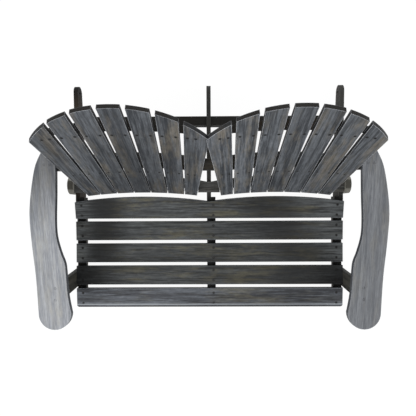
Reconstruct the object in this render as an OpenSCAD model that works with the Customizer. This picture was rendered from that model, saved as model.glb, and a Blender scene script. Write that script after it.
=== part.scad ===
// Double seat with two fan backs, built from boards on three long rails.
// It hangs by its three horns behind the back and by its two arm posts.
// +X is to the right as seen from the front, +Y runs to the back, +Z is up.
// The origin is on the lower edge of the centre rail.

/* [Seat] */
// Length of the seat slats, which is the width over the outer rails
seat_len = 1150; // [1080:5:1220]
// Width of each seat slat except the front and the rear one
seat_slat_w = 81; // [70:1:86]
// Width of the front seat slat
front_slat_w = 84; // [74:1:90]
// Thickness of every seat slat
seat_slat_t = 18; // [15:0.5:24]
// Gap between neighbouring seat slats
seat_gap = 15.5; // [12:0.5:18]
// Width of the rear seat slat at the crown of its two arches
rear_slat_w = 93; // [88:1:98]
// Reach of the seat's nose in front of the origin
nose_reach = 429; // [420:1:440]
// Height of the level part of the slats' bearing edge
bearing_h = 60; // [54:1:62]
// Upward slope of the front slat towards the back
front_slope = 4; // [0:0.5:6]
// Upward slope of the fourth slat from the front
fourth_slope = 3; // [0:0.5:5]
// Upward slope of the rear slat
rear_slope = 12; // [8:0.5:14]
// Length of the corner cuts at the ends of the front slat
nose_corner = 8; // [4:1:14]

/* [Long rails] */
// Thickness of the three long rails
rail_t = 18; // [15:0.5:24]
// How far the rails stop short of the seat's nose
rail_setback = 11; // [8:1:20]
// Reach of the horns behind the origin
horn_reach = 526; // [500:1:550]
// Height of the horns' upper edge at the back end
horn_h = 108; // [98:1:114]
// Depth of the rounded horn end
horn_d = 58; // [48:1:64]
// Where the lower edge starts to sweep up, behind the origin
sweep_start = 180; // [150:5:260]
// Radius of the rails' lower front corner
toe_r = 20; // [10:1:28]
// Height of the rails' upper edge under the lower back rail
back_bearing_h = 85; // [83:0.5:88]
// Thickness of the cleats that line the long rails
cleat_t = 19; // [15:0.5:24]
// Depth of the cleats under the level slats
cleat_h = 24; // [22:0.5:26]
// How far the cleats stop short of the seat's nose
cleat_setback = 26; // [20:1:40]
// Where the cleats end behind the origin
cleat_rear = 48; // [44:1:50]

/* [Rear stretcher] */
// Front face of the stretcher behind the origin
stretcher_y = 356; // [320:2:380]
// Thickness of the stretcher
stretcher_t = 38; // [30:1:45]
// Depth of the stretcher
stretcher_h = 50; // [40:1:54]
// Height of the stretcher's lower edge
stretcher_z = 40; // [36:1:44]

/* [Back slats] */
// Distance from the seat's middle to the middle of each fan
fan_x = 286; // [280:0.5:288]
// Slope of the back away from upright
lean = 21.5; // [18:0.5:24]
// Front face of a fan's middle slat at its foot, behind the origin
foot_y = 67.5; // [66:0.5:74]
// How far the slats' feet reach below the lower back rail
foot_drop = 2; // [0:0.5:4]
// Length of a fan's middle slat
back_len = 607; // [560:2:640]
// Width of a back slat
back_w = 68.8; // [62:0.2:69.4]
// Thickness of a back slat
back_t = 15; // [12:0.5:18]
// Gap between neighbouring slats at the foot
foot_gap = 3.5; // [3.2:0.1:6]
// Angle between neighbouring slats of a fan, seen from the front
splay = 1.25; // [0.9:0.05:1.3]
// How far each fan tips outwards, seen from the front
fan_tip = 0.4; // [0.2:0.05:0.6]
// Radius of each fan's hollow in plan
fan_r = 2000; // [1900:50:2800]
// Radius of each fan's top edge
crown_r = 362; // [320:2:420]
// How much narrower the outermost slats are at the foot
foot_taper = 17; // [10:1:20]
// How much wider they would be at the height of the middle slat's top
crown_flare = 24; // [10:1:28]

/* [Back rails] */
// Thickness of the three levels of back rails
back_rail_t = 22; // [18:0.5:26]
// Depth of the lower back rail and the arm rail between the fans
back_rail_d = 44; // [38:1:50]
// Rise of their rear arches behind each fan
arch_rise = 27; // [16:1:32]
// How far the lower back rail's tongue stands forward of the slats' hollow
lower_tongue = 26; // [22:0.5:32]
// How far the arm rail's tongue stands forward of the slats' hollow
arm_tongue = 12; // [10:0.5:20]
// Reach of the arm rail past the seat's ends
arm_rail_over = 65; // [50:1:80]
// Height of the upper supports' top face
upper_h = 515; // [480:1:530]
// Depth of the upper supports behind a fan's middle slat
upper_d = 33; // [28:1:42]
// Radius of the upper supports' rear edge
upper_r = 1050; // [900:10:1400]
// Half the length of an upper support
upper_half = 246; // [225:1:250]
// Thickness of the ears beside the lower back rail
ear_t = 25; // [20:1:32]
// Width of an ear
ear_w = 75; // [66:1:84]
// Height of an ear's round top
ear_top = 120; // [116:1:140]
// Height of an ear's lower end
ear_foot = 8; // [4:1:14]
// How far an ear's front edge stands forward of the lower back rail
ear_front = 5; // [0:0.5:8]

/* [Arms] */
// Height of the arms' underside
arm_h = 270; // [250:2:300]
// Thickness of the arms
arm_t = 22; // [18:0.5:28]
// Width of an arm at its middle
arm_w = 99; // [85:1:105]
// Gap in plan between the seat's end and an arm's inner edge
arm_offset = 7; // [4:1:18]
// Radius of an arm's round front end
paddle_r = 62; // [54:1:66]
// Reach of the arms in front of the origin
arm_front = 461; // [440:1:480]
// Reach of the arms behind the origin
arm_rear = 215; // [205:1:230]
// Width of an arm post
post_w = 70; // [66:1:84]
// Thickness of an arm post
post_t = 18; // [16:0.5:26]
// Middle of the post at the level of the seat, in front of the origin
post_y = 307; // [284:1:320]
// Forward rake of the posts
post_rake = 5.5; // [0:0.5:8]
// Height of the posts' lower end
post_foot = 10; // [4:1:12]

/* [Fasteners] */
// Radius of the five hanging holes
hang_r = 6.5; // [5:0.25:8]
// Height of the hanging holes in the posts
post_hole_h = 220; // [190:2:226]
// Radius of the frame bolts
bolt_r = 4; // [3:0.25:5]
// Clearance round a bolt
bolt_clear = 0.3; // [0.1:0.05:0.6]
// Radius of a bolt's round head
bolt_head_r = 10; // [8:0.5:12]
// Height of a bolt's round head
bolt_head_h = 4; // [3:0.25:5]
// Height of a nut
nut_h = 7; // [5:0.5:8]
// Height of the bolts above the rails' lower edge
bolt_h = 24; // [20:0.5:26]
// Distance between the two bolts of a pair
bolt_pitch = 38; // [32:1:44]
// Radius of a wood screw's shank
screw_r = 2; // [1.5:0.1:2.5]
// Radius of a wood screw's head
screw_head_r = 4; // [3.4:0.1:4.6]
// Height of a wood screw's head
screw_head_h = 2.5; // [2:0.1:3]
// How deep the screw heads lie below the board's face
screw_sink = 0.6; // [0.2:0.1:1]
// Length of the screw's shank that goes into the second board
screw_bite = 16; // [12:0.5:17]
// Clearance round a wood screw
screw_clear = 0.2; // [0.1:0.05:0.4]
// How far the back slats' screws sit below the top of each back rail
screw_drop = 8; // [7:0.5:11]
// Distance between the two screws that hold a board at one place
screw_pitch = 44; // [36:1:48]

/* [Hidden] */
$fn = 96;

half = seat_len / 2;
far = 400;          // cutters run this far past the boards
lap = 0.2;          // neighbouring cutters overlap by this
arc_fn = 720;       // facets of the wide arcs

// Seat slats are numbered from the back, 1, to the front, 5.
slope = [rear_slope, fourth_slope, 0, 0, front_slope];
function slat_width(n) = n == 1 ? rear_slat_w : n == 5 ? front_slat_w : seat_slat_w;
function along(angle) = [cos(angle), sin(angle)];
// Where the front lower corner of seat slat n lies, as [y, z].
function slat_at(n) =
    n == 5 ? [-nose_reach, bearing_h - front_slat_w * sin(front_slope)]
    : slat_at(n + 1) + slat_width(n + 1) * along(slope[n])
      + seat_gap * along((slope[n] + slope[n - 1]) / 2);
// The rear slat is this wide over the rails, between its arches.
rear_slat_end_w = rear_slat_w - fan_r + sqrt(pow(fan_r, 2) - pow(half - fan_x, 2));
rail_columns = [-(half - rail_t - cleat_t / 2), rail_t / 2 + cleat_t / 2, half - rail_t - cleat_t / 2];

// Back slats: i runs from -3 to 3 across a fan.
back_pitch = back_w + foot_gap;
foot_h = back_bearing_h - foot_drop;
function turn_of(i) = asin(i * back_pitch / fan_r);
// Angle of back slat i seen from the front, in the fan on side s.
function view_angle(i, s) = i * splay + s * fan_tip;
// Turned slats lean outwards too, so the tilt in a slat's own plane is less.
function tilt_of(i, s) = let (a = turn_of(i))
    atan((tan(view_angle(i, s)) - sin(a) * tan(lean)) * cos(lean) / cos(a));
function slat_rear_y(h) = foot_y + back_t / cos(lean) + (h - foot_h) * tan(lean);
lower_front = slat_rear_y(back_bearing_h + back_rail_t) - lower_tongue;
lower_top = back_bearing_h + back_rail_t;
arm_rail_front = slat_rear_y(arm_h) - arm_tongue;
upper_front = slat_rear_y(upper_h);
back_rail_tops = [lower_top, arm_h, upper_h];
arch_r = (pow(fan_x, 2) + pow(arch_rise, 2)) / (2 * arch_rise);

ear_y = lower_front - ear_front + ear_w / 2;
horn_eye = [horn_reach - horn_d / 2, horn_h - horn_d / 2];
function post_mid(h) = -post_y - (h - bearing_h - seat_slat_t) * tan(post_rake);
arm_in = half + arm_offset;
paddle_x = arm_in + 3.5;
paddle_y = -arm_front + paddle_r;

board = [0.33, 0.34, 0.35];
board_dark = [0.25, 0.25, 0.26];
board_light = [0.52, 0.54, 0.57];
steel = [0.2, 0.19, 0.18];

// ---- helpers ----

// A board lying in the YZ plane, from x0 to x0 + t, drawn as [y, z].
module upright(x0, t) {
    translate([x0, 0, 0])
        rotate([90, 0, 90])
            linear_extrude(t) children();
}

module at_slat(n) {
    p = slat_at(n);
    translate([0, p[0], p[1]])
        rotate([slope[n - 1], 0, 0]) children();
}

// The frame of back slat i in the fan on side s: its foot's front middle, z along the slat.
module at_back(s, i) {
    a = turn_of(i);
    translate([s * fan_x + fan_r * sin(a), foot_y - fan_r * (1 - cos(a)), foot_h])
        rotate([0, 0, -a])
            rotate([-lean, 0, 0])
                rotate([0, tilt_of(i, s), 0]) children();
}

// Length along back slat i at which its rear face crosses height h.
function reach(i, s, h) = (h - foot_h + back_t * sin(lean)) / cos(lean) / cos(tilt_of(i, s));

// Spline through points p, with k steps on each stretch.
function blend(a, b, c, d, t) = 0.5 * (2 * b + (c - a) * t + (2 * a - 5 * b + 4 * c - d) * t * t
    + (3 * b - a - 3 * c + d) * t * t * t);
function spline(p, k) = concat([for (s = [0 : len(p) - 2], j = [0 : k - 1])
    blend(p[max(s - 1, 0)], p[s], p[s + 1], p[min(s + 2, len(p) - 1)], j / k)], [p[len(p) - 1]]);

// ---- screws and bolts ----

// A wood screw whose head lies screw_sink below z = 0 and whose shank points down.
module screw(t) {
    translate([0, 0, -screw_sink - screw_head_h])
        cylinder(r = screw_head_r, h = screw_head_h);
    translate([0, 0, -t - screw_bite])
        cylinder(r = screw_r, h = t + screw_bite - screw_sink - screw_head_h);
}

module screw_hole(t) {
    translate([0, 0, -screw_sink - screw_head_h])
        cylinder(r = screw_head_r + screw_clear, h = far);
    translate([0, 0, -t - screw_bite - screw_clear])
        cylinder(r = screw_r + screw_clear, h = far);
}

// Places a child at both screws of seat slat n over each long rail.
module seat_screw_places(n) {
    mid = n == 1 ? rear_slat_end_w / 2 : slat_width(n) / 2;
    at_slat(n)
        for (x = rail_columns, s = [-1, 1])
            translate([x, mid + s * screw_pitch / 2, seat_slat_t]) children();
}

// Places a child at both screws of back slat i in the rail whose top is at height top.
module back_screw_places(s, i, top) {
    narrow = abs(i) == 3 ? foot_taper : 0;
    up = reach(i, s, top - screw_drop);
    at_back(s, i)
        for (k = [-1, 1])
            translate([k * (screw_pitch - narrow) / 2 - sign(i) * narrow / 2, 0, up])
                rotate([90, 0, 0]) children();
}

// Places a child on the arm at its post and at the arm rail, at side s.
module arm_screw_places(s) {
    for (k = [-1, 1]) {
        translate([s * (half + post_t / 2), post_mid(arm_h) + k * screw_pitch / 2, arm_h + arm_t]) children();
        translate([s * (half + arm_rail_over / 2 + k * screw_pitch / 4 + 6),
            arm_rail_front + back_rail_d / 2, arm_h + arm_t]) children();
    }
}

// [y, z] of the bolts that hold a post and of those that hold an ear.
post_bolts = [for (k = [-1, 1]) [post_mid(bolt_h) + k * bolt_pitch / 2, bolt_h]];
ear_bolts = [for (k = [-1, 1]) [ear_y + k * bolt_pitch / 2, bolt_h]];

// The bolt holes of side s, through everything from the outside in.
module bolt_holes(s, places) {
    for (p = places)
        translate([s * half, p[0], p[1]])
            rotate([0, 90, 0])
                cylinder(r = bolt_r + bolt_clear, h = far, center = true);
}

// A bolt through a stack t thick whose outer face is at x = face.
module frame_bolt(s, p, face, t) {
    translate([s * face, p[0], p[1]])
        rotate([0, s * 90, 0]) {
            cylinder(r = bolt_head_r, h = bolt_head_h);
            translate([0, 0, -t - nut_h - 3])
                cylinder(r = bolt_r, h = t + nut_h + 3);
        }
}

module frame_nut(s, p, face, t) {
    translate([s * (face - t), p[0], p[1]])
        rotate([0, -s * 90, 0])
            difference() {
                cylinder(r = bolt_r * 1.9, h = nut_h, $fn = 6);
                translate([0, 0, -1])
                    cylinder(r = bolt_r + 0.05, h = nut_h + 2);
            }
}

// ---- seat ----

module seat_slat(n) {
    w = slat_width(n);
    nose = seat_slat_t / 2;
    color(board_dark)
        difference() {
            at_slat(n)
                if (n == 5)
                    intersection() {
                        upright(-half, seat_len)
                            union() {
                                translate([nose, nose]) circle(nose);
                                translate([nose, 0]) square([w - nose, seat_slat_t]);
                            }
                        linear_extrude(far, center = true)
                            polygon([
                                [-half + nose_corner, -1], [half - nose_corner, -1],
                                [half, nose_corner], [half, w], [-half, w], [-half, nose_corner]
                            ]);
                    }
                else if (n == 1)
                    linear_extrude(seat_slat_t)
                        intersection() {
                            translate([-half, 0]) square([seat_len, w]);
                            for (s = [-1, 1])
                                translate([s * fan_x, w - fan_r]) circle(fan_r, $fn = arc_fn);
                        }
                else
                    translate([-half, 0, 0]) cube([seat_len, w, seat_slat_t]);
            seat_screw_places(n) screw_hole(seat_slat_t);
        }
}

// The bearing edge under the slats, as [y, z] from the back to a front end that stops
// short of the nose. Each slat has its own flat.
function bed(n, inset) = let (p = slat_at(n), w = n == 1 ? rear_slat_end_w + 1 : slat_width(n))
    [p + w * along(slope[n - 1]), p + inset / cos(slope[n - 1]) * along(slope[n - 1])];
function bearing_edge(inset) = [for (n = [1 : 5], p = bed(n, n == 5 ? inset : 0)) p];

// ---- long rails and cleats ----

module rail_side() {
    front = -nose_reach + rail_setback;
    top = bearing_edge(rail_setback);
    polygon(concat(
        [[front, toe_r], [front + toe_r, 0], [sweep_start, 0], [horn_eye[0], horn_h - horn_d]],
        [[horn_eye[0], horn_h], [lower_front + back_rail_d + arch_rise, back_bearing_h]],
        [[top[0][0], back_bearing_h]],
        top
    ));
    translate([front + toe_r, toe_r]) circle(toe_r);
    translate(horn_eye) circle(horn_d / 2);
}

module long_rail(x0) {
    color(board_dark)
        difference() {
            upright(x0, rail_t) rail_side();
            for (s = [-1, 1]) bolt_holes(s, concat(post_bolts, ear_bolts));
            translate([x0 - far / 2, horn_eye[0], horn_eye[1]])
                rotate([0, 90, 0]) cylinder(r = hang_r, h = far);
        }
}

module cleat(x0) {
    front = -nose_reach + cleat_setback;
    low = bearing_h - cleat_h;
    top = bearing_edge(cleat_setback);
    color(board_dark)
        difference() {
            upright(x0, cleat_t)
                polygon(concat(
                    [[front, low], [cleat_rear, low], [cleat_rear, back_bearing_h]],
                    [[top[0][0], back_bearing_h]],
                    top
                ));
            for (n = [1 : 5]) seat_screw_places(n) screw_hole(seat_slat_t);
        }
}

module rear_stretcher(s) {
    inner = rail_t / 2;
    span = half - rail_t - inner;
    color(board_dark)
        translate([s > 0 ? inner : -inner - span, stretcher_y, stretcher_z])
            cube([span, stretcher_t, stretcher_h]);
}

module ear(s) {
    color(board)
        difference() {
            upright(s > 0 ? half : -half - ear_t, ear_t)
                union() {
                    translate([ear_y, ear_top - ear_w / 2]) circle(ear_w / 2);
                    translate([ear_y - ear_w / 2, ear_foot]) square([ear_w, ear_top - ear_w / 2 - ear_foot]);
                }
            bolt_holes(s, ear_bolts);
        }
}

// ---- back ----

// Half the width of back slat i on one side, at its foot and at the middle slat's length.
function side_w(i, edge, grow) = [
    back_w / 2 - (i * edge == 3 ? foot_taper : 0) + grow,
    back_w / 2 + (i * edge == 3 ? crown_flare : 0) + grow
];

// The outline of back slat i, as [x, z] in its own frame. All tops lie on one circle.
module back_outline(i, s) {
    left = side_w(i, -1, 0);
    right = side_w(i, 1, 0);
    intersection() {
        polygon([
            [-left[0], 0], [right[0], 0], [right[1], back_len], [-left[1], back_len]
        ]);
        rotate(atan(tan(view_angle(i, s)) * cos(lean)))
            translate([-i * back_pitch, 0])
                rotate(-s * fan_tip)
                    translate([0, back_len - crown_r]) circle(crown_r, $fn = 360);
    }
}

module back_slat(s, i) {
    color(board)
        difference() {
            at_back(s, i)
                translate([0, back_t, 0])
                    rotate([90, 0, 0]) linear_extrude(back_t) back_outline(i, s);
            for (top = back_rail_tops) back_screw_places(s, i, top) screw_hole(back_t);
        }
}

// The upright cuts that a rail with its top at height top needs for its fan: one flat for
// each slat, which meets the slat's rear face at that height.
module slat_seats(s, top) {
    for (i = [-3 : 3]) {
        up = reach(i, s, top);
        between = back_pitch / 2 + up * tan(splay) / 2 + lap;
        side = [for (edge = [-1, 1]) i * edge == 3
            ? side_w(i, edge, foot_gap / 2)[0] + (foot_taper + crown_flare) * up / back_len
            : between];
        at_back(s, i)
            translate([0, back_t, up])
                rotate([0, -tilt_of(i, s), 0])
                    rotate([lean, 0, 0])
                        translate([-side[0], -far, -far]) cube([side[0] + side[1], far, 2 * far]);
    }
}

// A rail with two arches behind the fans, in plan, from y = front.
module arched_plan(front, reach_x) {
    crown = front + back_rail_d + arch_rise;
    intersection() {
        translate([-reach_x, front]) square([2 * reach_x, back_rail_d + arch_rise]);
        union() {
            translate([-reach_x, front]) square([2 * reach_x, back_rail_d]);
            for (s = [-1, 1])
                translate([s * fan_x, crown - arch_r]) circle(arch_r, $fn = arc_fn);
        }
    }
}

module fan_cuts(s, top) {
    slat_seats(s, top);
    for (i = [-3 : 3]) back_screw_places(s, i, top) screw_hole(back_t);
}

module lower_back_rail() {
    color(board)
        difference() {
            translate([0, 0, back_bearing_h])
                linear_extrude(back_rail_t) arched_plan(lower_front, half);
            for (s = [-1, 1]) fan_cuts(s, lower_top);
        }
}

module arm_rail() {
    color(board)
        difference() {
            translate([0, 0, arm_h - back_rail_t])
                linear_extrude(back_rail_t) arched_plan(arm_rail_front, half + arm_rail_over);
            for (s = [-1, 1]) {
                fan_cuts(s, arm_h);
                arm_screw_places(s) screw_hole(arm_t);
            }
        }
}

module upper_support(s) {
    crown = upper_front + upper_d;
    color(board)
        difference() {
            translate([s * fan_x, 0, upper_h - back_rail_t])
                linear_extrude(back_rail_t)
                    intersection() {
                        translate([-upper_half, upper_front - upper_d]) square([2 * upper_half, 2 * upper_d]);
                        translate([0, crown - upper_r]) circle(upper_r, $fn = arc_fn);
                    }
            fan_cuts(s, upper_h);
        }
}

// ---- arms ----

outer_edge = [
    [arm_in + 0.55 * arm_w, arm_rear], [arm_in + 0.82 * arm_w, 0.68 * arm_rear], [arm_in + arm_w, 0],
    [arm_in + 0.93 * arm_w, -0.26 * arm_front], [paddle_x + 1.16 * paddle_r, -0.565 * arm_front],
    [paddle_x + paddle_r, paddle_y]
];
inner_edge = [
    [paddle_x - paddle_r, paddle_y], [arm_in - 0.73 * paddle_r, -0.715 * arm_front],
    [arm_in - 0.61 * paddle_r, -0.52 * arm_front], [arm_in - 0.53 * paddle_r, -0.445 * arm_front],
    [arm_in - 0.29 * paddle_r, -0.36 * arm_front], [arm_in - 0.03 * paddle_r, -0.23 * arm_front],
    [arm_in + 0.03 * paddle_r, -0.087 * arm_front], [arm_in, 0.28 * arm_rear], [arm_in, arm_rear]
];
paddle_tip = [for (a = [-10 : -10 : -170])
    [paddle_x + paddle_r * cos(a), paddle_y + paddle_r * sin(a)]];

arm_plan = concat(spline(outer_edge, 5), paddle_tip, spline(inner_edge, 4));

module arm(s) {
    color(board_light)
        difference() {
            translate([0, 0, arm_h])
                linear_extrude(arm_t)
                    polygon([for (p = arm_plan) [s * p[0], p[1]]]);
            arm_screw_places(s) screw_hole(arm_t);
        }
}

module arm_post(s) {
    side = post_w / 2;
    color(board)
        difference() {
            upright(s > 0 ? half : -half - post_t, post_t)
                polygon([
                    [post_mid(post_foot) - side, post_foot], [post_mid(post_foot) + side, post_foot],
                    [post_mid(arm_h) + side, arm_h], [post_mid(arm_h) - side, arm_h]
                ]);
            bolt_holes(s, post_bolts);
            arm_screw_places(s) screw_hole(arm_t);
            translate([s * half, post_mid(post_hole_h), post_hole_h])
                rotate([0, 90, 0]) cylinder(r = hang_r, h = far, center = true);
        }
}

// ---- fasteners ----

module frame_bolts() {
    color(steel)
        for (s = [-1, 1]) {
            for (p = post_bolts) frame_bolt(s, p, half + post_t, post_t + rail_t);
            for (p = ear_bolts) frame_bolt(s, p, half + ear_t, ear_t + rail_t);
        }
}

module frame_nuts() {
    color(steel)
        for (s = [-1, 1]) {
            for (p = post_bolts) frame_nut(s, p, half + post_t, post_t + rail_t);
            for (p = ear_bolts) frame_nut(s, p, half + ear_t, ear_t + rail_t);
        }
}

module seat_screws() {
    color(steel)
        for (n = [1 : 5]) seat_screw_places(n) screw(seat_slat_t);
}

module back_screws() {
    color(steel)
        for (s = [-1, 1], i = [-3 : 3], top = back_rail_tops)
            back_screw_places(s, i, top) screw(back_t);
}

module arm_screws() {
    color(steel)
        for (s = [-1, 1]) arm_screw_places(s) screw(arm_t);
}

long_rail(-half);  // long_rail_left
long_rail(-rail_t / 2);  // long_rail_centre
long_rail(half - rail_t);  // long_rail_right
cleat(-half + rail_t);  // cleat_left
cleat(rail_t / 2);  // cleat_centre
cleat(half - rail_t - cleat_t);  // cleat_right
seat_slat(1);  // seat_slat_1
seat_slat(2);  // seat_slat_2
seat_slat(3);  // seat_slat_3
seat_slat(4);  // seat_slat_4
seat_slat(5);  // seat_slat_5
rear_stretcher(-1);  // rear_stretcher_left
rear_stretcher(1);  // rear_stretcher_right
ear(-1);  // ear_left
ear(1);  // ear_right
lower_back_rail();
arm_rail();
upper_support(-1);  // upper_support_left
upper_support(1);  // upper_support_right
back_slat(-1, -3);  // back_slat_left_1
back_slat(-1, -2);  // back_slat_left_2
back_slat(-1, -1);  // back_slat_left_3
back_slat(-1, 0);  // back_slat_left_4
back_slat(-1, 1);  // back_slat_left_5
back_slat(-1, 2);  // back_slat_left_6
back_slat(-1, 3);  // back_slat_left_7
back_slat(1, -3);  // back_slat_right_1
back_slat(1, -2);  // back_slat_right_2
back_slat(1, -1);  // back_slat_right_3
back_slat(1, 0);  // back_slat_right_4
back_slat(1, 1);  // back_slat_right_5
back_slat(1, 2);  // back_slat_right_6
back_slat(1, 3);  // back_slat_right_7
arm(-1);  // arm_left
arm(1);  // arm_right
arm_post(-1);  // arm_post_left
arm_post(1);  // arm_post_right
frame_bolts();
frame_nuts();
seat_screws();
back_screws();
arm_screws();
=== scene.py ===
"""Looks of the porch swing seat: stained boards, dark screws, plain studio."""
import math

import bmesh
import bpy
import numpy as np
from mathutils import Matrix, Vector


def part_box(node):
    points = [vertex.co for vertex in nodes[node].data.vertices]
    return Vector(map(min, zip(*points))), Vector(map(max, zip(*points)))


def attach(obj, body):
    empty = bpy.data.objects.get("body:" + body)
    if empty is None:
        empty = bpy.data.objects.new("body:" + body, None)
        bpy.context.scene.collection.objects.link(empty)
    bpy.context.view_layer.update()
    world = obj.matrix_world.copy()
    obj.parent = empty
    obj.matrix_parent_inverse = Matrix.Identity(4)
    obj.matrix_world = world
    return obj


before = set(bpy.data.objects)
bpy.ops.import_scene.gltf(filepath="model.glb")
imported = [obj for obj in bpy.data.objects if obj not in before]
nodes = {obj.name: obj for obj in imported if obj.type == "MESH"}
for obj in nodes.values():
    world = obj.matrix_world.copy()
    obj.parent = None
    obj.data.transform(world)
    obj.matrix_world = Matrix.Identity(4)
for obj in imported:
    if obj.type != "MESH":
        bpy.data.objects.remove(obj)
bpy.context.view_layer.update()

WHITE = (1, 1, 1, 1)


# ---- colours and node trees ----

def srgb(r, g, b):
    """A colour written as the 0 to 255 values it shows, as linear RGBA."""
    def linear(c):
        c /= 255
        return c / 12.92 if c <= 0.04045 else ((c + 0.055) / 1.055) ** 2.4
    return (linear(r), linear(g), linear(b), 1)


def shade(colour, factor):
    """A colour made darker or lighter by a factor."""
    return tuple(c * factor for c in colour[:3]) + (1,)


class Tree:
    """The nodes of a new material or world. Inputs are numbers, tuples or other nodes' sockets."""

    def __init__(self, owner):
        self.owner = owner
        owner.use_nodes = True
        self.nodes = owner.node_tree.nodes
        self.links = owner.node_tree.links
        self.nodes.clear()

    def put(self, socket, value):
        if isinstance(value, bpy.types.NodeSocket):
            self.links.new(value, socket)
        else:
            socket.default_value = value

    def node(self, kind, inputs=(), **settings):
        n = self.nodes.new(kind)
        for key, value in settings.items():
            setattr(n, key, value)
        for key, value in dict(inputs).items():
            self.put(n.inputs[key], value)
        return n

    def math(self, operation, a, b=0.0):
        return self.node("ShaderNodeMath", {0: a, 1: b}, operation=operation).outputs[0]

    def times(self, *factors):
        """The product of two or more values."""
        product = factors[0]
        for factor in factors[1:]:
            product = self.math("MULTIPLY", product, factor)
        return product

    def distance(self, value, place):
        """How far a value is from a place, on either side."""
        return self.math("ABSOLUTE", self.math("SUBTRACT", value, place))

    def vector(self, operation, a, b):
        n = self.node("ShaderNodeVectorMath", {0: a, 1: b}, operation=operation)
        return n.outputs["Value" if operation in ("DOT_PRODUCT", "DISTANCE") else "Vector"]

    def noise(self, vector, detail, rough=0.5, distort=0.0):
        n = self.node("ShaderNodeTexNoise", {
            "Vector": vector, "Scale": 1.0, "Detail": detail, "Roughness": rough, "Distortion": distort})
        return n.outputs["Fac"]

    def ramp(self, value, low, high, at_low=0.0, at_high=1.0):
        """Runs smoothly from at_low, where the value is low or beyond, to at_high, where it is high."""
        n = self.node("ShaderNodeMapRange", {
            "Value": value, "From Min": low, "From Max": high, "To Min": at_low, "To Max": at_high},
            interpolation_type="SMOOTHSTEP")
        return n.outputs["Result"]

    def mix(self, factor, a, b, blend="MIX"):
        """Colour a, turned into b (or blended with it) by the factor."""
        n = self.node("ShaderNodeMix", {0: factor}, data_type="RGBA", blend_type=blend)
        self.put(n.inputs[6], a)
        self.put(n.inputs[7], b)
        return n.outputs[2]

    def scaled(self, colour, factor):
        """A colour times a value."""
        grey = self.node("ShaderNodeCombineColor", {0: factor, 1: factor, 2: factor}).outputs[0]
        return self.mix(1.0, colour, grey, blend="MULTIPLY")

    def output(self, shader, kind="ShaderNodeOutputMaterial"):
        self.node(kind, {"Surface": shader})
        return self.owner


# ---- the boards' own directions, and their screws ----

def vertices(obj):
    """A mesh's vertices, one to a row."""
    co = np.empty(len(obj.data.vertices) * 3)
    obj.data.vertices.foreach_get("co", co)
    return co.reshape(-1, 3)


def board_axes(obj):
    """A board's middle and its axes, longest first, from the second moments of its surface."""
    mesh = obj.data
    mesh.calc_loop_triangles()
    corners = np.empty(len(mesh.loop_triangles) * 3, int)
    mesh.loop_triangles.foreach_get("vertices", corners)
    p = vertices(obj)[corners.reshape(-1, 3)]
    area = np.linalg.norm(np.cross(p[:, 1] - p[:, 0], p[:, 2] - p[:, 0]), axis=1) / 2
    middle = (p.mean(1) * area[:, None]).sum(0) / area.sum()
    q = p - middle
    # A triangle's second moment is its area / 12 times these two sums over its corners.
    corner = np.einsum("t,tki,tkj->ij", area, q, q)
    centre = np.einsum("t,ti,tj->ij", area, q.sum(1), q.sum(1))
    _, vectors = np.linalg.eigh((corner + centre) / (12 * area.sum()))
    axes = []
    for k in (2, 1):
        v = vectors[:, k]
        axes.append(Vector(v * np.sign(v[np.argmax(np.abs(v))])))
    axes.append(axes[0].cross(axes[1]))
    return Vector(middle), axes


def clusters(points, reach=0.012):
    """The middles of the groups of points that lie near each other, seen along the third axis."""
    groups = []
    for p in points:
        for group in groups:
            if math.dist(group[0][:2], p[:2]) < reach:
                group.append(p)
                break
        else:
            groups.append([p])
    return [np.mean(group, 0) for group in groups]


def screws_in(kind, obj, middle, turn):
    """Where a board's screws are, along its axes from its middle."""
    def from_middle(other):
        return (vertices(other) - np.array(middle)) @ np.array(turn).T
    reach = np.abs(from_middle(obj)).max(0)
    points = from_middle(nodes[kind + "_screws"])
    return clusters(points[(np.abs(points) < reach).all(1)])


# ---- wood ----

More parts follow.
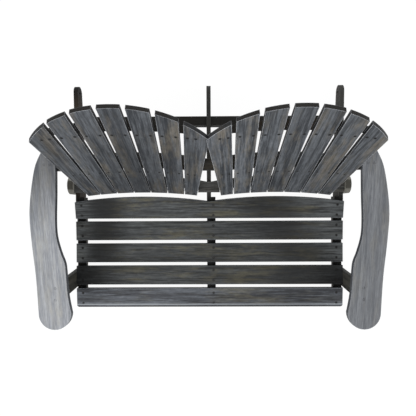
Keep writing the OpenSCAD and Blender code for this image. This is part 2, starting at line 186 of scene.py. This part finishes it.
# Each look, first in colours: the stain's middle tone, its dark and light streaks, the warm wood
# that shows through, the worn edges, lighter also as a painted highlight, the end grain and the
# sawn sides. Then how much of the warm wood shows, and the roughness.
COLOURS = ("tone", "dark", "light", "warm", "edge", "end", "side")
LOOKS = {
    "seat": dict(tone=(62, 64, 66), dark=(31, 32, 32), light=(90, 93, 94), warm=(104, 99, 78),
                 edge=(112, 116, 120), end=(60, 62, 64), side=(30, 31, 32), show=0.65, rough=0.56),
    "front": dict(tone=(66, 68, 72), dark=(38, 39, 42), light=(94, 98, 104), warm=(104, 100, 84),
                  edge=(138, 142, 147), end=(64, 66, 68), side=(34, 35, 36), show=0.6, rough=0.56),
    # Painted light: the back slats' tone is raised, as their upright faces get less of the light from above.
    "back": dict(tone=(76, 79, 84), dark=(44, 47, 51), light=(108, 112, 117), warm=(114, 107, 95),
                 edge=(196, 199, 204), end=(22, 20, 17), side=(14, 14, 15), show=0.75, rough=0.6),
    # Painted light: the arms are paler than the seat, and the left arm paler than the right, lit from the
    # left.
    "arm_left": dict(tone=(158, 160, 165), dark=(130, 134, 141), light=(178, 181, 185),
                     warm=(168, 164, 152), edge=(196, 200, 205), end=(104, 106, 110),
                     side=(74, 77, 82), show=0.45, rough=0.5),
    # Painted shade: the right arm is darker than the left, away from the light.
    "arm_right": dict(tone=(112, 114, 118), dark=(94, 97, 102), light=(130, 133, 137),
                      warm=(128, 124, 114), edge=(168, 172, 178), end=(76, 78, 82),
                      side=(82, 85, 90), show=0.35, rough=0.5),
    "post": dict(tone=(62, 62, 58), dark=(38, 38, 35), light=(86, 85, 79), warm=(92, 84, 66),
                 edge=(108, 108, 103), end=(30, 29, 27), side=(54, 54, 51), show=0.5, rough=0.65),
    "rail": dict(tone=(42, 42, 39), dark=(20, 20, 18), light=(62, 61, 57), warm=(70, 58, 43),
                 edge=(76, 76, 73), end=(18, 17, 15), side=(26, 25, 23), show=0.5, rough=0.68),
    "support": dict(tone=(34, 33, 30), dark=(16, 15, 13), light=(50, 48, 44), warm=(60, 48, 35),
                    edge=(60, 59, 55), end=(16, 15, 13), side=(16, 15, 13), show=0.5, rough=0.7),
    "lower": dict(tone=(62, 62, 61), dark=(36, 36, 35), light=(88, 88, 86), warm=(86, 78, 64),
                  edge=(100, 100, 98), end=(30, 29, 27), side=(50, 50, 49), show=0.5, rough=0.68),
    "horn": dict(tone=(60, 59, 58), dark=(34, 33, 31), light=(88, 87, 84), warm=(88, 76, 62),
                 edge=(96, 95, 92), end=(22, 21, 19), side=(60, 60, 58), show=0.5, rough=0.68),
    "horn_left": dict(tone=(48, 41, 33), dark=(24, 18, 13), light=(72, 63, 53), warm=(78, 58, 40),
                      edge=(66, 58, 49), end=(10, 8, 6), side=(56, 49, 40), show=0.7, rough=0.68),
    # Painted light: the ears' tone is raised against the shade of the back slats and arms.
    "ear": dict(tone=(146, 145, 138), dark=(106, 105, 98), light=(174, 172, 164), warm=(162, 152, 130),
                edge=(180, 178, 170), end=(66, 64, 58), side=(124, 122, 115), show=0.5, rough=0.62),
}

# The starts of the boards' names, each with its look. The first that fits is the one.
NAME_STARTS = (
    ("seat_slat_5", "front"), ("seat_slat", "seat"), ("back_slat", "back"), ("arm_left", "arm_left"),
    ("arm_right", "arm_right"), ("arm_post", "post"), ("long_rail_left", "horn_left"),
    ("long_rail", "horn"), ("lower_back", "lower"), ("upper_support", "support"), ("ear", "ear"),
    ("", "rail"),
)

# The noises of the grain: how many times a metre each changes along and across the board, how far
# it is moved from the others, and its detail, roughness and distortion.
GRAINS = {
    "brush": dict(along=8, across=150, moved=0, detail=6, rough=0.68, distort=0.1),
    "streak": dict(along=2.6, across=48, moved=2, detail=4, rough=0.6, distort=0.2),
    "broad": dict(along=2.2, across=13, moved=5, detail=3, rough=0.55, distort=0.4),
    "bloom": dict(along=4.5, across=22, moved=11, detail=5, rough=0.7, distort=0.3),
    "fine": dict(along=26, across=560, moved=3, detail=3, rough=0.6, distort=0.0),
    "pores": dict(along=60, across=900, moved=8, detail=2, rough=0.5, distort=0.0),
    "mottle": dict(along=34, across=75, moved=14, detail=4, rough=0.62, distort=0.3),
}
MOVED_ALONG = (1, 0.7, -1)
NOISE_SPREAD = 40  # each board's noises start up to this far out, in metres

# The heart of the tree lies beside the board, and the growth rings are drawn out along it.
HEART = Vector((0, 0.03, -0.11))
RING_STRETCH = 0.16

EDGE_RADIUS = 0.0032
BUMP_HEIGHT = 0.0012

# How far behind the front slat's foremost edge its painted highlight is, and where the painted
# shade on its forward-facing nose starts and is darkest.
NOSE_HIGHLIGHT = 0.0125
NOSE_SHADE = 0.0095
NOSE_DARKEST = 0.006


def grain_of(t, board, start, rng):
    """The values of GRAINS all over a board, and the growth rings round a heart beside it."""
    grain = {}
    for kind, n in GRAINS.items():
        stretched = t.vector("MULTIPLY", board, (n["along"], n["across"], n["across"]))
        moved = t.vector("ADD", stretched, tuple(n["moved"] * k for k in MOVED_ALONG))
        grain[kind] = t.noise(moved, n["detail"], n["rough"], n["distort"])
    from_heart = t.vector("SUBTRACT", board, tuple(start + HEART))
    grain["rings"] = t.node("ShaderNodeTexWave", {
        "Vector": t.vector("MULTIPLY", from_heart, (RING_STRETCH, 1, 1)),
        "Scale": float(rng.uniform(26, 36)), "Distortion": float(rng.uniform(5, 9)),
        "Detail": 3.0, "Detail Scale": 0.7, "Detail Roughness": 0.6},
        wave_type="RINGS", rings_direction="X", wave_profile="SAW").outputs["Fac"]
    return grain


def brushed_stain(t, name, look, paint, grain, xyz):
    """The stain's streaks, the warm wood that shows through them, and the grain's light and dark."""
    lines = t.math("ADD", t.times(grain["brush"], 0.6), t.times(grain["streak"], 0.4))
    colour = t.mix(t.ramp(lines, 0.41, 0.59), paint["dark"], paint["light"])
    colour = t.mix(t.ramp(grain["broad"], 0.32, 0.68, 0.45, 0.1), colour, paint["tone"])
    showing = t.times(t.ramp(grain["bloom"], 0.47, 0.68), t.ramp(grain["brush"], 0.3, 0.6, 0.5, 1.0))
    if name.startswith("seat_slat"):
        # Little of the warm wood shows at the seat slats' ends.
        showing = t.times(showing, t.ramp(t.distance(xyz["X"], 0), 0.40, 0.50, 1.0, 0.15))
    colour = t.mix(t.times(showing, look["show"]), colour, paint["warm"])
    colour = t.mix(t.ramp(grain["broad"], 0.50, 0.78, 0.0, 0.6), colour, paint["dark"])
    patchy = 0.06 if name.startswith("arm_") else 0.16
    relief = t.times(
        t.ramp(grain["fine"], 0.25, 0.75, 0.82, 1.18), t.ramp(grain["rings"], 0.0, 1.0, 0.93, 1.06),
        t.ramp(grain["mottle"], 0.30, 0.70, 1 - patchy, 1 + patchy))
    return t.mix(t.ramp(grain["pores"], 0.60, 0.70, 0.0, 0.4), t.scaled(colour, relief), paint["dark"])


def nearest_screw(t, board, start, screws):
    """How far each place on a board's face is from the nearest of its screws."""
    face = t.vector("MULTIPLY", board, (1, 1, 0))
    away = [t.vector("DISTANCE", face, (start.x + screw[0], start.y + screw[1], 0)) for screw in screws]
    near = away[0]
    for other in away[1:]:
        near = t.math("MINIMUM", near, other)
    return near


def screw_stain(t, kind, xyz):
    """How dark the wood is round its screws. The back's lower rows are no darker than the rest."""
    if kind == "back":
        return t.ramp(xyz["Z"], 0.35, 0.45, 1.0, 0.55)
    return {"seat": 0.38, "arm": 0.97}[kind]


def nose(t, colour, paint, xyz, front):
    """The front slat's rounded nose has a painted highlight along its top and painted shade before it."""
    # Painted highlight: a light line along the top of the rounded nose.
    worn = t.ramp(t.distance(xyz["Y"], front + NOSE_HIGHLIGHT), 0.0015, 0.0045, 0.8, 0.0)
    colour = t.mix(worn, colour, paint["edge"])
    # Painted shade on the nose, where it faces forward.
    return t.mix(t.ramp(xyz["Y"], front + NOSE_SHADE, front + NOSE_DARKEST, 0.0, 0.5), colour, paint["dark"])


def wood(name, obj, look, seed):
    """Brushed grey stain on a board, with its grain along the board's longest axis."""
    rng = np.random.default_rng(seed)
    middle, axes = board_axes(obj)
    turn = Matrix(axes)
    start = Vector(rng.uniform(-NOISE_SPREAD, NOISE_SPREAD, 3))
    depth = float(rng.uniform(0.92, 1.09))
    paint = {part: shade(srgb(*look[part]), depth) for part in COLOURS}

    t = Tree(bpy.data.materials.new("wood_" + name))
    place = t.node("ShaderNodeTexCoord").outputs["Object"]
    flat = t.node("ShaderNodeNewGeometry").outputs["Normal"]
    xyz = dict(t.node("ShaderNodeSeparateXYZ", {"Vector": place}).outputs)
    xyz["up"] = t.node("ShaderNodeSeparateXYZ", {"Vector": flat}).outputs["Z"]
    board = t.node("ShaderNodeMapping", {
        "Vector": place, "Location": start - turn @ middle, "Rotation": turn.to_euler()}).outputs["Vector"]
    grain = grain_of(t, board, start, rng)
    colour = brushed_stain(t, name, look, paint, grain, xyz)

    # The sawn sides are darker, and end grain has its own tone.
    lengthwise = t.math("ABSOLUTE", t.vector("DOT_PRODUCT", flat, tuple(axes[0])))
    facewise = t.math("ABSOLUTE", t.vector("DOT_PRODUCT", flat, tuple(axes[2])))
    colour = t.mix(t.ramp(facewise, 0.55, 0.25, 0.0, 0.85), colour, paint["side"])
    colour = t.mix(t.ramp(lengthwise, 0.80, 0.92, 0.0, 0.92), colour, paint["end"])

    # Edges are lighter, worn and with a painted highlight, but not beside the screws, where the stain is
    # darker.
    rounded = t.node("ShaderNodeBevel", {"Radius": EDGE_RADIUS}, samples=6).outputs["Normal"]
    bend = t.math("SUBTRACT", 1.0, t.vector("DOT_PRODUCT", flat, rounded))
    wear_and_highlight = t.times(t.ramp(bend, 0.01, 0.10), t.ramp(grain["brush"], 0.25, 0.6, 0.45, 0.95))
    if name.startswith(("seat_slat", "back_slat", "arm_left", "arm_right")):
        kind = name.split("_")[0]
        near = nearest_screw(t, board, start, screws_in(kind, obj, middle, turn))
        colour = t.scaled(colour, t.ramp(near, 0.0040, 0.0075, screw_stain(t, kind, xyz), 1.0))
        wear_and_highlight = t.times(wear_and_highlight, t.ramp(near, 0.006, 0.009))
    colour = t.mix(t.times(wear_and_highlight, t.ramp(lengthwise, 0.5, 0.9, 1.0, 0.25)), colour, paint["edge"])
    if name == "seat_slat_5":
        colour = nose(t, colour, paint, xyz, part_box(name)[0].y)
    # Painted light and shade, and other darker or paler places, by the board's name.
    placed = PLACED.get(name, PLACED.get(name.rsplit("_", 1)[0]))
    if placed:
        colour = t.scaled(colour, placed(t, xyz, grain["streak"]))

    height = t.math("ADD", t.times(grain["fine"], 0.6), t.times(grain["brush"], 0.9))
    height = t.math("SUBTRACT", height, t.ramp(grain["pores"], 0.60, 0.70, 0.0, 0.5))
    bump = t.node("ShaderNodeBump", {
        "Strength": 0.45, "Distance": BUMP_HEIGHT, "Height": height, "Normal": rounded}).outputs["Normal"]
    bsdf = t.node("ShaderNodeBsdfPrincipled", {
        "Base Color": colour, "Normal": bump, "Specular IOR Level": 0.2,
        "Roughness": t.ramp(grain["brush"], 0.3, 0.7, look["rough"] - 0.06, look["rough"] + 0.12)})
    return t.output(bsdf.outputs[0])


# ---- painted light and shade, and other places where the colour is darker or paler, as factors of its tone ----
# Most ramps here have the two places, in metres, where a change starts and ends, and the factors
# at both. The functions in PLACED take the same three inputs, whether they use them or not.

def frayed(t, value, streaks, width):
    """A place moved to and fro by the streaks, so that no change runs along a straight line."""
    return t.math("ADD", value, t.times(t.math("SUBTRACT", streaks, 0.5), width))


def right_half(t, xyz):
    """Painted shade: the seat is a little darker right of its middle, but not at its right end."""
    return t.math("ADD", t.ramp(xyz["X"], -0.14, 0.02, 1.0, 0.77), t.ramp(xyz["X"], 0.34, 0.42, 0.0, 0.23))


def seat_light_and_shade(t, xyz, streaks):
    """Painted shade in two bands across the seat, the right one further out in front; painted light at the
    ends.
    """
    left_band, right_band, slant = -0.445, 0.27, 0.62
    x = frayed(t, xyz["X"], streaks, 0.10)
    from_right_band = t.math("ADD", t.math("SUBTRACT", x, right_band), t.times(xyz["Y"], slant))
    bands = t.times(t.ramp(t.distance(x, left_band), 0.01, 0.13, 0.22, 1.0),
                    t.ramp(t.distance(from_right_band, 0), 0.02, 0.20, 0.38, 1.0))
    # Painted light: the slats' ends are paler, against the shade of the arms.
    ends = t.times(t.ramp(xyz["X"], -0.55, -0.48, 1.75, 1.0), t.ramp(xyz["X"], 0.44, 0.53, 1.0, 1.4))
    # Painted shade: a little darker towards the front.
    towards_front = t.ramp(xyz["Y"], -0.22, -0.10, 0.86, 1.0)
    return t.times(ends, towards_front, bands, right_half(t, xyz))


def fourth_slat(t, xyz, streaks):
    """Painted shadow of the posts and arms: the fourth slat is darker at both its ends, beside the posts."""
    palest = -0.06
    x = frayed(t, t.distance(xyz["X"], palest), streaks, 0.16)
    return t.times(t.ramp(x, 0.22, 0.46, 0.85, 0.27), right_half(t, xyz))


def front_slat(t, xyz, streaks):
    """Painted light: the front slat is paler towards its ends."""
    return t.times(t.ramp(xyz["X"], -0.50, 0.35, 1.32, 0.86), t.ramp(xyz["X"], 0.40, 0.54, 1.0, 1.45))


def painted_shade_under_seat(t, xyz, streaks):
    """Painted shade: the rails' top edges are nearly black under the seat, and paler on the horns."""
    seat_shade = t.times(t.ramp(xyz["Y"], 0.08, 0.035), t.ramp(xyz["up"], 0.5, 0.9))
    return t.math("SUBTRACT", 1.0, t.times(seat_shade, 0.88))


def left_horn(t, xyz, streaks):
    """The left horn's tip is nearly black."""
    y = frayed(t, xyz["Y"], streaks, 0.05)
    # The painted shade under the seat, as on the other rails, and a nearly black tip.
    return t.times(painted_shade_under_seat(t, xyz, streaks), t.ramp(y, 0.42, 0.52, 0.8, 0.06))


def left_arm(t, xyz, streaks):
    """The left arm is darker at its rear."""
    return t.ramp(xyz["Y"], -0.12, 0.18, 1.02, 0.42)


def left_fan(t, xyz, streaks):
    """The left fan's middle slats are darker below their middles."""
    fan_middle = -0.27
    from_middle = t.distance(xyz["X"], fan_middle)
    low = t.times(t.ramp(from_middle, 0.02, 0.17, 1.0, 0.0), t.ramp(xyz["Z"], 0.40, 0.60, 1.0, 0.0))
    return t.math("SUBTRACT", 1.0, t.times(low, 0.38))


def right_fan(t, xyz, streaks):
    """The right fan is paler beside the middle."""
    return t.ramp(xyz["X"], 0.06, 0.28, 1.25, 1.0)


# By a board's name, or by its name without its last part.
PLACED = {
    "seat_slat": seat_light_and_shade, "seat_slat_4": fourth_slat, "seat_slat_5": front_slat,
    "long_rail": painted_shade_under_seat, "long_rail_left": left_horn, "cleat": painted_shade_under_seat,
    "arm_left": left_arm, "back_slat_left": left_fan, "back_slat_right": right_fan,
}


# ---- steel ----

STEEL = srgb(20, 19, 18)
DUST = srgb(48, 36, 28)
BLOTCHES = 240
GRIT = 1500


def steel(name, seed):
    """Dark coated steel, a little worn and dusty."""
    t = Tree(bpy.data.materials.new("steel_" + name))
    place = t.node("ShaderNodeTexCoord").outputs["Object"]
    at = t.vector("ADD", place, (seed * 1.7, seed * 0.9, 0))
    blotch = t.noise(t.vector("MULTIPLY", at, (BLOTCHES, BLOTCHES, BLOTCHES)), detail=4, rough=0.6)
    grit = t.noise(t.vector("MULTIPLY", at, (GRIT, GRIT, GRIT)), detail=2)
    colour = t.mix(t.ramp(blotch, 0.35, 0.7), shade(STEEL, 0.7), shade(STEEL, 1.5))
    colour = t.mix(t.ramp(grit, 0.6, 0.8, 0.0, 0.5), colour, DUST)
    bump = t.node("ShaderNodeBump", {"Strength": 0.25, "Distance": 0.0004, "Height": grit}).outputs["Normal"]
    bsdf = t.node("ShaderNodeBsdfPrincipled", {
        "Base Color": colour, "Metallic": 0.4, "Normal": bump,
        "Roughness": t.ramp(blotch, 0.3, 0.7, 0.42, 0.62)})
    return t.output(bsdf.outputs[0])


def give_materials(first_seed):
    """Each node has a material of its own, with its own seed."""
    for seed, name in enumerate(sorted(nodes), first_seed):
        if name.endswith(("screws", "bolts", "nuts")):
            material = steel(name, seed)
        else:
            look = next(look for start, look in NAME_STARTS if name.startswith(start))
            material = wood(name, nodes[name], LOOKS[look], seed)
        nodes[name].data.materials.clear()
        nodes[name].data.materials.append(material)


# ---- plugs ----

PLUG_RADIUS = 0.0041
PLUG_TOP_RADIUS = 0.0018
PLUG_SIDES = 24


def ring(bm, middle, radius, z):
    """Points round an upright axis, at one height."""
    angles = [math.tau * k / PLUG_SIDES for k in range(PLUG_SIDES)]
    return [bm.verts.new((middle[0] + radius * math.cos(a), middle[1] + radius * math.sin(a), z))
            for a in angles]


def plug(bm, middle, head, level):
    """A plug from a screw's head up to the arm's top face, with its edges a little rounded."""
    profile = ((PLUG_RADIUS - 0.0002, head), (PLUG_RADIUS, head + 0.0001),
               (PLUG_RADIUS, level - 0.00025), (PLUG_RADIUS - 0.0005, level - 0.00008),
               (PLUG_TOP_RADIUS, level - 0.00003))
    rings = [ring(bm, middle, radius, z) for radius, z in profile]
    for low, high in zip(rings, rings[1:]):
        for k in range(PLUG_SIDES):
            after = (k + 1) % PLUG_SIDES
            bm.faces.new((low[k], low[after], high[after], high[k]))
    bm.faces.new(list(reversed(rings[0])))
    bm.faces.new(rings[-1])


def arm_plugs():
    """Wooden plugs, flush with the arms, over the screw heads."""
    points = vertices(nodes["arm_screws"])
    head = points[:, 2].max()
    middles = clusters(points[points[:, 2] > head - 1e-4])
    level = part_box("arm_left")[1].z
    for side in ("left", "right"):
        bm = bmesh.new()
        for middle in middles:
            if (middle[0] > 0) == (side == "right"):
                plug(bm, middle, head, level)
        mesh = bpy.data.meshes.new("arm_plugs_" + side)
        bm.to_mesh(mesh)
        bm.free()
        plugs = bpy.data.objects.new("arm_plugs_" + side, mesh)
        bpy.context.scene.collection.objects.link(plugs)
        mesh.materials.append(nodes["arm_" + side].data.materials[0])
        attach(plugs, "root")


# ---- floor, light and camera ----

FLOOR_SIZE = 16
FLOOR_DROP = 0.001
FLOOR_GLOW = 0.95
FLOOR_FAINT = (0.085, 0.085, 0.085, 1)

# The camera's place, its tilt to the left and its roll in degrees, and its focal length in
# pixels of the picture, which is so many pixels wide. The sensor's width is in millimetres.
CAMERA_AT = (0.0122, 0, 1.798)
CAMERA_TILT = 0.554
CAMERA_ROLL = -0.25
FOCAL_PIXELS = 398
PICTURE_PIXELS = 416
SENSOR = 36


def shown(t):
    """1 where a thing is seen, also in a reflection or through glass, and 0 where it only gives light."""
    path = t.node("ShaderNodeLightPath").outputs
    seen = t.math("MAXIMUM", path["Is Camera Ray"], path["Is Glossy Ray"])
    return t.math("MAXIMUM", seen, path["Is Transmission Ray"])


def make_floor():
    """White paper just under the seat: it glows where it is seen, and takes a faint shadow."""
    bpy.ops.mesh.primitive_plane_add(size=FLOOR_SIZE, location=(0, 0, -FLOOR_DROP))
    floor = bpy.context.object
    floor.name = "floor"
    t = Tree(bpy.data.materials.new("floor_paper"))
    place = t.node("ShaderNodeTexCoord").outputs["Object"]
    fibre = t.noise(t.vector("MULTIPLY", place, (300, 300, 300)), detail=2)
    paper = t.mix(fibre, srgb(236, 236, 236), srgb(244, 244, 244))
    lit = t.node("ShaderNodeBsdfDiffuse", {"Color": paper}).outputs[0]
    glow = t.node("ShaderNodeEmission", {"Color": WHITE, "Strength": FLOOR_GLOW}).outputs[0]
    faint = t.node("ShaderNodeBsdfDiffuse", {"Color": FLOOR_FAINT}).outputs[0]
    seen = t.node("ShaderNodeAddShader", {0: glow, 1: faint}).outputs[0]
    shader = t.node("ShaderNodeMixShader", {0: shown(t), 1: lit, 2: seen}).outputs[0]
    floor.data.materials.append(t.output(shader))


def make_world(level):
    """An even sky that gives light at a level of its own, and is white where it is seen."""
    world = bpy.data.worlds.new("studio")
    bpy.context.scene.world = world
    t = Tree(world)
    strength = t.node("ShaderNodeMapRange", {"Value": shown(t), "To Min": level, "To Max": 1.0})
    sky = t.node("ShaderNodeBackground", {"Color": WHITE, "Strength": strength.outputs["Result"]})
    t.output(sky.outputs[0], "ShaderNodeOutputWorld")


def softbox(name, at, aim, size, power):
    """A round soft lamp at a place, aimed at another. The power is in watts."""
    light = bpy.data.lights.new(name, "AREA")
    light.shape = "DISK"
    light.size = size
    light.energy = power
    obj = bpy.data.objects.new(name, light)
    obj.location = at
    obj.rotation_euler = (Vector(aim) - Vector(at)).to_track_quat("-Z", "Y").to_euler()
    bpy.context.scene.collection.objects.link(obj)


def make_camera():
    """Looks straight down on the seat, as the picture does."""
    tilt = math.radians(CAMERA_TILT)
    roll = math.radians(CAMERA_ROLL)
    ahead = Vector((-math.sin(tilt), 0, -math.cos(tilt)))
    up = Vector((-math.sin(roll), math.cos(roll), 0))
    up = (up - ahead * up.dot(ahead)).normalized()
    right = ahead.cross(up)
    data = bpy.data.cameras.new("camera")
    data.sensor_width = SENSOR
    data.lens = SENSOR * FOCAL_PIXELS / PICTURE_PIXELS
    data.clip_start = 0.05
    data.clip_end = 60
    camera = bpy.data.objects.new("camera", data)
    turn = Matrix((right, up, -ahead)).transposed().to_4x4()
    camera.matrix_world = Matrix.Translation(CAMERA_AT) @ turn
    bpy.context.scene.collection.objects.link(camera)
    bpy.context.scene.camera = camera


give_materials(first_seed=11)
arm_plugs()
make_camera()
make_floor()
make_world(level=0.5)
softbox("key", at=(-1.3, -1.5, 3.0), aim=(0, 0, 0.1), size=2.0, power=52)
softbox("fill", at=(1.6, -0.8, 2.8), aim=(0, 0, 0.2), size=2.2, power=24)
softbox("rear", at=(0.3, 3.0, 1.5), aim=(0, 0, 0.3), size=2.2, power=26)
bpy.context.scene.view_settings.view_transform = "Standard"
